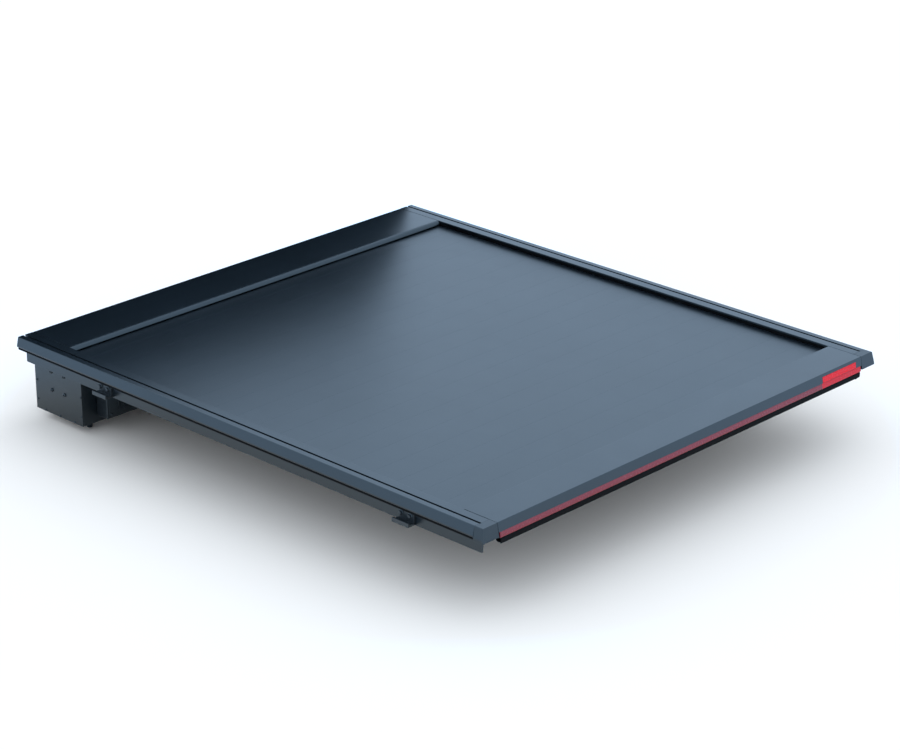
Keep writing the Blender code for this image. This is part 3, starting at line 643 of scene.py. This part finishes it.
def make_gland():
    """Cable gland with a hexagon body, a ribbed dome nut and a blanking plug, because no cable is fitted."""
    low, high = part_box("cable_gland")
    centre = Vector((low.x, (low.y + high.y) / 2, (low.z + high.z) / 2))
    length = high.x - low.x
    shape = bmesh.new()
    body = [
        (0.0100, 0.0, "round"),
        (0.0100, 0.0012, "round"),
        (0.0108, 0.0016, "hexagon"),
        (0.0108, 0.0056, "hexagon"),
        (0.0086, 0.0062, "round"),
        (0.0086, 0.0070, "round"),
    ]
    add_rings(shape, body, centre, (1, 0, 0), segments=48)
    dome = [
        (0.0104, 0.0072, "round"),
        (0.0107, 0.0080, "round"),
        (0.0107, 0.0132, "round"),
        (0.0098, 0.0165, "round"),
        (0.0080, 0.0195, "round"),
        (0.0066, length, "round"),
        (0.0056, length, "round"),
        (0.0056, length - 0.0020, "round"),
    ]
    add_rings(shape, dome, centre, (1, 0, 0), segments=48)
    for rib in range(GLAND_RIBS):
        angle = 2 * math.pi * rib / GLAND_RIBS
        out = Vector((0, math.cos(angle), math.sin(angle))) * GLAND_RIB_REACH
        spot = centre + out + Vector((GLAND_RIB_FROM, 0, 0))
        add_block(shape, spot - GLAND_RIB_HALF, spot + GLAND_RIB_HALF, GLAND_RIB_EDGE)
    gland = new_piece("gland_body", shape, "black_plastic", "frame")
    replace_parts(gland, "cable_gland")
    plug = [
        (0.0055, length - 0.0018, "round"),
        (0.0050, length - 0.0009, "round"),
        (0.0030, length - 0.0004, "round"),
    ]
    shape = bmesh.new()
    add_rings(shape, plug, centre, (1, 0, 0))
    new_piece("gland_plug", shape, "black_rubber", "frame")


make_drain_spigots()
make_gland()


# ---------------------------------------------------------------- control box cover
COVER_INSET = 0.005         # from the box's edges
COVER_THICKNESS = 0.0016
COVER_EDGE = 0.0006         # rounding of its edges
COVER_SCREW = (0.0031, 0.0019)
COVER_SCREW_INSET = 0.0065  # from the cover's corners
COVER_RIBS = 9
COVER_RIB_HALF = 0.0011     # half of a rib's width
COVER_RIB_LIFT = 0.0022     # from the cover's face
COVER_RIB_EDGE = 0.0005     # rounding of a rib's edges
COVER_RIBS_ASIDE = 0.030    # from the box's sides to the stretch that the ribs share
COVER_RIBS_END = 0.018      # from the box's top and bottom
HAIR_GAP = 0.0001           # behind the cover and behind its ribs


def make_control_box_cover():
    """Screwed cover on the control box's rear face, with upright cooling ribs."""
    low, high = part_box("control_box")
    back = low.y - HAIR_GAP
    face = low.y - COVER_THICKNESS
    shape = bmesh.new()
    cover_low = (low.x + COVER_INSET, face, low.z + COVER_INSET)
    cover_high = (high.x - COVER_INSET, back, high.z - COVER_INSET)
    add_block(shape, cover_low, cover_high, COVER_EDGE)
    for x in spread_between(low.x + COVER_RIBS_ASIDE, high.x - COVER_RIBS_ASIDE, COVER_RIBS):
        rib_low = (x - COVER_RIB_HALF, face - COVER_RIB_LIFT, low.z + COVER_RIBS_END)
        rib_high = (x + COVER_RIB_HALF, face - HAIR_GAP, high.z - COVER_RIBS_END)
        add_block(shape, rib_low, rib_high, COVER_RIB_EDGE)
    new_piece("control_box_cover", shape, "black_plastic", "frame")
    corner = COVER_INSET + COVER_SCREW_INSET
    places = [
        (x, face, z)
        for x in (low.x + corner, high.x - corner)
        for z in (low.z + corner, high.z - corner)
    ]
    fastener_set("control_box_screws", socket_screw(*COVER_SCREW), places, (0, -1, 0))


make_control_box_cover()


# ---------------------------------------------------------------- push buttons
ARROW_HALF = 0.0031         # half of the arrow's width, and from its middle to its point
ARROW_BACK = 0.8            # share of that from its middle to its back edge
ARROW_LIFT = 0.00035        # above the cap's dish
ARROW_SINK = 0.0001         # into the cap
DISH_DEPTH = 0.0006         # of the cap's hollow
HOUSING_SCREW = (0.0026, 0.0014)
HOUSING_SCREW_INSET = 0.0058


def add_arrow(shape, face, y, z, towards):
    """A raised triangle on a button's cap, with its point along Y."""
    tip = y + towards * ARROW_HALF
    back = y - towards * ARROW_HALF * ARROW_BACK
    corners = [(tip, z), (back, z - ARROW_HALF), (back, z + ARROW_HALF)]
    base = [shape.verts.new((face - ARROW_SINK, *corner)) for corner in corners]
    top = [shape.verts.new((face + ARROW_LIFT, *corner)) for corner in corners]
    shape.faces.new(base)
    shape.faces.new(top)
    for step in range(3):
        after = (step + 1) % 3
        shape.faces.new((base[step], base[after], top[after], top[step]))


def make_buttons():
    """Dished caps with an arrow each, which point the way the cover goes, and a bezel round each cap."""
    arrow_paint = plastic("arrow_paint", (0.62, 0.64, 0.66), 0.45)
    housing_low, housing_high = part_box("button_housing")
    bezels = bmesh.new()
    for name, towards in (("button_open", 1), ("button_close", -1)):
        low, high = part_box(name)
        radius = (high.y - low.y) / 2
        centre = Vector((low.x, (low.y + high.y) / 2, (low.z + high.z) / 2))
        length = high.x - low.x
        cap = [
            (radius, 0.0, "round"),
            (radius, length - 0.0013, "round"),
            (radius - 0.0004, length - 0.0005, "round"),
            (radius - 0.0012, length, "round"),
            (radius - 0.0022, length - 0.0003, "round"),
            (radius * 0.40, length - DISH_DEPTH, "round"),
        ]
        shape = bmesh.new()
        add_rings(shape, cap, centre, (1, 0, 0), segments=48)
        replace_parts(new_piece(f"{name}_cap", shape, "grey_plastic", name), name)
        arrow = bmesh.new()
        add_arrow(arrow, high.x - DISH_DEPTH, centre.y, centre.z, towards)
        new_piece(f"{name}_arrow", arrow, "grey_plastic", name, material=arrow_paint)
        ring_centre = Vector((housing_high.x, centre.y, centre.z))
        ring = [
            (radius + 0.0006, 0.0001, "round"),
            (radius + 0.0028, 0.0001, "round"),
            (radius + 0.0025, 0.0008, "round"),
            (radius + 0.0010, 0.0011, "round"),
            (radius + 0.0006, 0.0008, "round"),
        ]
        add_rings(bezels, ring, ring_centre, (1, 0, 0), segments=48, closed=True)
    new_piece("button_bezels", bezels, "black_plastic", "frame")
    inset = HOUSING_SCREW_INSET
    places = [
        (housing_high.x, y, z)
        for y in (housing_low.y + inset, housing_high.y - inset)
        for z in (housing_low.z + inset, housing_high.z - inset)
    ]
    fastener_set("button_housing_screws", socket_screw(*HOUSING_SCREW), places, (1, 0, 0))


make_buttons()


# ---------------------------------------------------------------- slats
SLAT_REACH = 0.00012        # how far each of a slat's top edges is drawn towards its neighbour
CROWN_DEPTH = 0.0002        # what lies within this of a slat's top moves with its edges
WELD_WITHIN = 0.000002      # vertices this close are one


def make_slats():
    """Slats with their top edges almost touching, as they are when the closed curtain is under tension."""
    for name in sorted(NODES):
        if not name.startswith("slat_"):
            continue
        _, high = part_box(name)
        shape = bmesh.new()
        data = NODES[name].data
        place = NODES[name].matrix_world
        corners = [shape.verts.new(place @ vertex.co) for vertex in data.vertices]
        for face in data.polygons:
            shape.faces.new([corners[index] for index in face.vertices])
        bmesh.ops.remove_doubles(shape, verts=shape.verts, dist=WELD_WITHIN)
        crown = [vertex for vertex in shape.verts if vertex.co.z > high.z - CROWN_DEPTH]
        middle = sum(vertex.co.y for vertex in crown) / len(crown)
        for vertex in crown:
            vertex.co.y += math.copysign(SLAT_REACH, vertex.co.y - middle)
        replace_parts(new_piece(f"{name}_closed", shape, "slat_coat", name), name)


make_slats()


# ---------------------------------------------------------------- lenses
SAME_LEVEL = 0.00001            # heights this close are one
MARKER_CELLS_ALONG = 20
MARKER_CELLS_UP = 2
MARKER_BORDER = 0.0012          # plain, round the prisms
MARKER_RIM = (0.0009, 0.00035)  # width and depth of the lens's rounded rim
PRISM_SINK = 0.00010            # of the prisms' crowns
PRISM_DEPTH = 0.00045           # of the valleys between them
STRIP_FLUTES = 256
STRIP_RIM = (0.0016, 0.0007)
FLUTE_DEPTH = 0.00022
PAINTED_LIT_MARGIN = 0.003           # how far the strip's painted-lit end starts before the marker


def lens_grid(node, columns, rows, dip):
    """A closed slab in the CAD lens's place.

    dip(u, v) gives how far its outer face lies in, for u along and v up the lens, from 0 to 1.
    """
    low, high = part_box(node)
    coordinates = [vertex.co for vertex in NODES[node].data.vertices]
    top = [co.y for co in coordinates if co.z > high.z - SAME_LEVEL]
    bottom = [co.y for co in coordinates if co.z < low.z + SAME_LEVEL]
    shape = bmesh.new()
    sheets = []
    for outer in (True, False):
        grid = []
        for row in range(rows + 1):
            v = row / rows
            if outer:
                y = min(bottom) * (1 - v) + min(top) * v
            else:
                y = max(bottom) * (1 - v) + max(top) * v
            z = low.z + (high.z - low.z) * v
            line = []
            for column in range(columns + 1):
                u = column / columns
                inset = dip(u, v) if outer else 0.0
                line.append(shape.verts.new((low.x + (high.x - low.x) * u, y + inset, z)))
            grid.append(line)
        sheets.append(grid)
    for grid in sheets:
        for row in range(rows):
            for column in range(columns):
                corners = (
                    grid[row][column],
                    grid[row][column + 1],
                    grid[row + 1][column + 1],
                    grid[row + 1][column],
                )
                shape.faces.new(corners)
    rim = [(0, column) for column in range(columns)]
    rim += [(row, columns) for row in range(rows)]
    rim += [(rows, column) for column in range(columns, 0, -1)]
    rim += [(row, 0) for row in range(rows, 0, -1)]
    outer, inner = sheets
    for (row, column), (next_row, next_column) in zip(rim, [*rim[1:], rim[0]]):
        corners = (
            outer[row][column],
            outer[next_row][next_column],
            inner[next_row][next_column],
            inner[row][column],
        )
        shape.faces.new(corners)
    return shape


def rim_dip(u, v, length, height, edge, depth):
    """Rounds the outer face's rim in by this depth over this width."""
    nearest = min(u * length, (1 - u) * length, v * height, (1 - v) * height)
    share = max(0.0, 1 - nearest / edge)
    return depth * share * share


def make_marker():
    """Marker lens: a plain border round two rows of pillow-shaped prisms."""
    low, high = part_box("marker_lens")
    length = high.x - low.x
    height = high.z - low.z

    def dip(u, v):
        x = (u * length - MARKER_BORDER) / (length - 2 * MARKER_BORDER)
        z = (v * height - MARKER_BORDER) / (height - 2 * MARKER_BORDER)
        if not (0 < x < 1 and 0 < z < 1):
            return rim_dip(u, v, length, height, *MARKER_RIM)
        pillow = abs(math.sin(math.pi * x * MARKER_CELLS_ALONG) * math.sin(math.pi * z * MARKER_CELLS_UP))
        return PRISM_SINK + PRISM_DEPTH * (1 - pillow ** 0.6)

    shape = lens_grid("marker_lens", 10 * MARKER_CELLS_ALONG, 12 * MARKER_CELLS_UP, dip)
    lens = new_piece("marker_prisms", shape, "red_lens", "rear_bar")
    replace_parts(lens, "marker_lens")


def make_strip():
    """Light strip: a fluted lens with its long edges rounded in. Below the marker it takes a brighter copy of
    its material, which is painted light.
    """
    low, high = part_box("light_strip")
    length = high.x - low.x
    height = high.z - low.z

    def dip(u, v):
        flute = 0.5 - 0.5 * math.cos(2 * math.pi * u * STRIP_FLUTES)
        return rim_dip(u, v, length, height, *STRIP_RIM) + FLUTE_DEPTH * flute

    shape = lens_grid("light_strip", 6 * STRIP_FLUTES, 8, dip)
    lens = new_piece("strip_flutes", shape, "red_lens", "rear_bar", material=STRIP_LENS)
    lens.data.materials.append(PAINTED_LIT_LENS)
    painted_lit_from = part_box("marker_lens")[0].x - PAINTED_LIT_MARGIN
    for face in lens.data.polygons:
        face.material_index = int(face.center.x > painted_lit_from)
    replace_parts(lens, "light_strip")


make_marker()
make_strip()


# ---------------------------------------------------------------- brush and seals
HOLDER_DEPTH = 0.0032               # of the brush's holder
HOLDER_INSET = 0.0008               # of its sides
HOLDER_EDGE = 0.0004                # rounding of its edges
TUFT_ROWS = (-0.0014, 0.0014)       # Y from the brush's middle
TUFT_PITCH = 0.0016
TUFT_ROOT = 0.0006                  # inside the holder
TUFT_HALF = (0.00055, 0.00030)      # half of a tuft's thickness at its root and at its tip
TUFT_LEAN = (0.0006, 0.0008)        # the most by which a tip is off its root in X and in Y
TUFT_SEED = 7
CREASE = 0.30                       # share of the bulkhead seal's depth at the crease between its lobes
RIPPLE = 0.00025                    # of its face along its length
CORNER_POWER = 0.45                 # 1 would make a rounded rectangle an ellipse, less gives squarer corners


def add_tuft(shape, root, tip, root_half, tip_half):
    """Adds one tuft: a four-sided taper from its root to its tip."""
    ends = []
    for centre, half in ((root, root_half), (tip, tip_half)):
        corners = ((-half, -half), (half, -half), (half, half), (-half, half))
        ends.append([shape.verts.new(centre + Vector((x, y, 0))) for x, y in corners])
    above, below = ends
    shape.faces.new(above)
    shape.faces.new(below[::-1])
    for step in range(4):
        after = (step + 1) % 4
        shape.faces.new((above[step], above[after], below[after], below[step]))


def make_mouth_brush():
    """Brush in its holder over the curtain's mouth: tapered tufts at a slight random lean."""
    low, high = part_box("mouth_brush")
    holder_bottom = high.z - HOLDER_DEPTH
    shape = bmesh.new()
    holder_low = (low.x, low.y + HOLDER_INSET, holder_bottom)
    holder_high = (high.x, high.y - HOLDER_INSET, high.z)
    add_block(shape, holder_low, holder_high, HOLDER_EDGE)
    holder = new_piece("brush_holder", shape, "black_plastic", "frame")
    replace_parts(holder, "mouth_brush")
    chance = random.Random(TUFT_SEED)
    lean_x, lean_y = TUFT_LEAN
    tufts = bmesh.new()
    count = int((high.x - low.x) / TUFT_PITCH)
    middle = (low.y + high.y) / 2
    for number in range(count):
        x = low.x + TUFT_PITCH * (number + 0.5)
        for row in TUFT_ROWS:
            root = Vector((x, middle + row, holder_bottom + TUFT_ROOT))
            tip_x = x + chance.uniform(-lean_x, lean_x)
            tip_y = middle + row + chance.uniform(-lean_y, lean_y)
            add_tuft(tufts, root, Vector((tip_x, tip_y, low.z)), *TUFT_HALF)
    new_piece("brush_bristles", tufts, "webbing", "frame")


def make_bulkhead_seal():
    """Rubber seal between the lid and the bulkhead: two soft lobes with a crease between them."""
    low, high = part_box("bulkhead_seal")
    height = high.z - low.z
    depth = high.y - low.y
    steps = 20
    section = []
    for step in range(steps + 1):
        v = step / steps
        lobe = abs(math.sin(2 * math.pi * v)) ** 0.5
        section.append((low.y + depth * (CREASE + (1 - CREASE) * lobe), low.z + height * v))
    section = [(low.y, low.z), *section, (low.y, high.z)]
    places = 160
    shape = bmesh.new()
    loops = []
    for place in range(places + 1):
        x = low.x + (high.x - low.x) * place / places
        ripple = RIPPLE * (1 + math.sin(x * 61) * math.sin(x * 23 + 1.3))
        loops.append(
            [shape.verts.new((x, y - ripple if y > low.y + 0.001 else y, z)) for y, z in section]
        )
    shape.faces.new(loops[0])
    shape.faces.new(loops[-1])
    for start, end in zip(loops, loops[1:]):
        for step in range(len(section)):
            after = (step + 1) % len(section)
            shape.faces.new((start[step], start[after], end[after], end[step]))
    seal = new_piece("bulkhead_seal_lobes", shape, "black_rubber", "frame", sharp_degrees=60)
    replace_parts(seal, "bulkhead_seal")


def squircle(angle, half_width, half_height):
    """A point of a rounded rectangle, in the direction of this angle."""
    across = math.cos(angle)
    up = math.sin(angle)
    return (
        half_width * math.copysign(abs(across) ** CORNER_POWER, across),
        half_height * math.copysign(abs(up) ** CORNER_POWER, up),
    )


def make_bar_seal():
    """Hollow bulb seal under the rear bar, with a soft lip at its rear lower corner."""
    low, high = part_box("rear_bar_seal")
    middle = (low + high) / 2
    half = (high - low) / 2
    lip_at = math.radians(225)
    lip_half_angle = math.radians(14)
    lip_drop = 0.0036
    bore_share = 0.74
    points = 72
    shape = bmesh.new()
    ends = []
    for x in (low.x, high.x):
        outline = []
        bore = []
        for step in range(points):
            angle = 2 * math.pi * (step + 0.5) / points
            y, z = squircle(angle, half.y, half.z)
            bore.append(shape.verts.new((x, middle.y + bore_share * y, middle.z + bore_share * z)))
            share = max(0.0, 1 - abs(angle - lip_at) / lip_half_angle)
            outline.append(shape.verts.new((x, middle.y + y, middle.z + z - lip_drop * share)))
        ends.append((outline, bore))
    (first_outline, first_bore), (last_outline, last_bore) = ends
    loops = (first_outline, last_outline, last_bore, first_bore)
    for here, there in zip(loops, (*loops[1:], loops[0])):
        for step in range(points):
            after = (step + 1) % points
            shape.faces.new((here[step], here[after], there[after], there[step]))
    # Its near-black rubber, filling the gap under the bar, also stands for the shade in that gap: painted
    # shade.
    seal = new_piece("bar_seal_bulb", shape, "black_rubber", "rear_bar")
    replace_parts(seal, "rear_bar_seal")


make_mouth_brush()
make_bulkhead_seal()
make_bar_seal()
